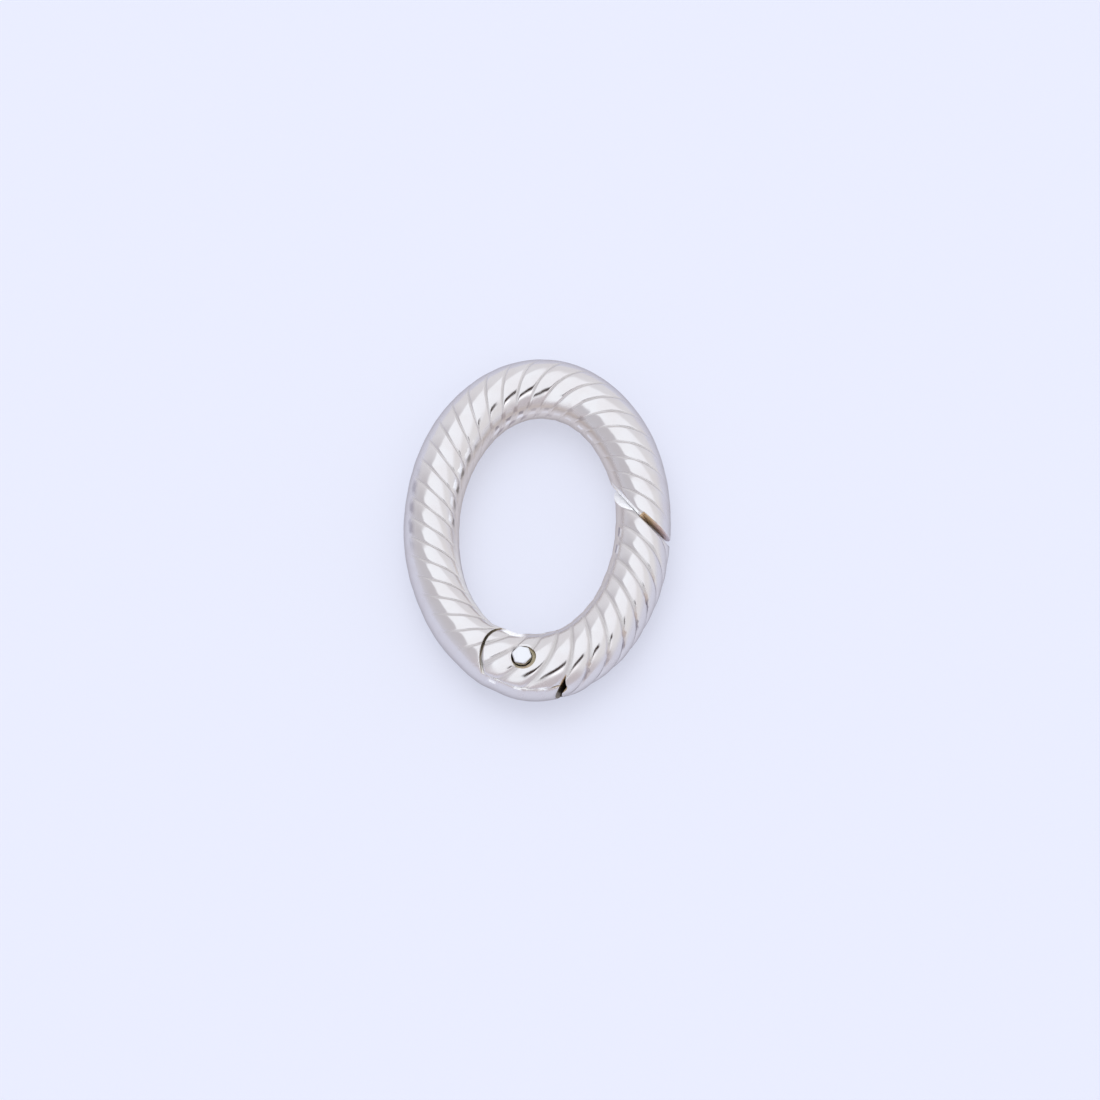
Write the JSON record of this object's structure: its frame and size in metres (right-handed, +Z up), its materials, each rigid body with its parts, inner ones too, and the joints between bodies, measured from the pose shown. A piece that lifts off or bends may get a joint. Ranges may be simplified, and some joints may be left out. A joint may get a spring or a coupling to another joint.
{
  "type": "oval push gate clasp",
  "caption": "Oval ring clasp cast in rope-twist silver wire, with a sprung gate that pushes inward on a hinge pin.",
  "frame": {"origin": "on the surface the ring lies on, under the middle of its bounding box", "axes": "+Y along the oval's length, away from the hinge end; +Z up, through the oval's eye; the gate is on the +X side"},
  "size_m": [0.0151, 0.0214, 0.0032],
  "materials": {
    "body_silver": "polished silver, tarnished brown inside the joints",
    "gate_silver": "polished silver, tarnished brown inside the joints",
    "pin_silver": "polished silver, filed flat at the head"
  },
  "bodies": {
    "ring": {"body": "body_silver", "hinge_pin": "pin_silver"},
    "gate": {"gate": "gate_silver"}
  },
  "joints": [
    {"name": "gate_hinge", "type": "hinge", "parent": "ring", "child": "gate", "pos_m": [-0.00052, -0.00873, 0.00157], "axis": [0, 0, 1], "range_deg": [0, 25], "stiffness_Nm_per_rad": 0.004, "springref_deg": -28.65}
  ]
}
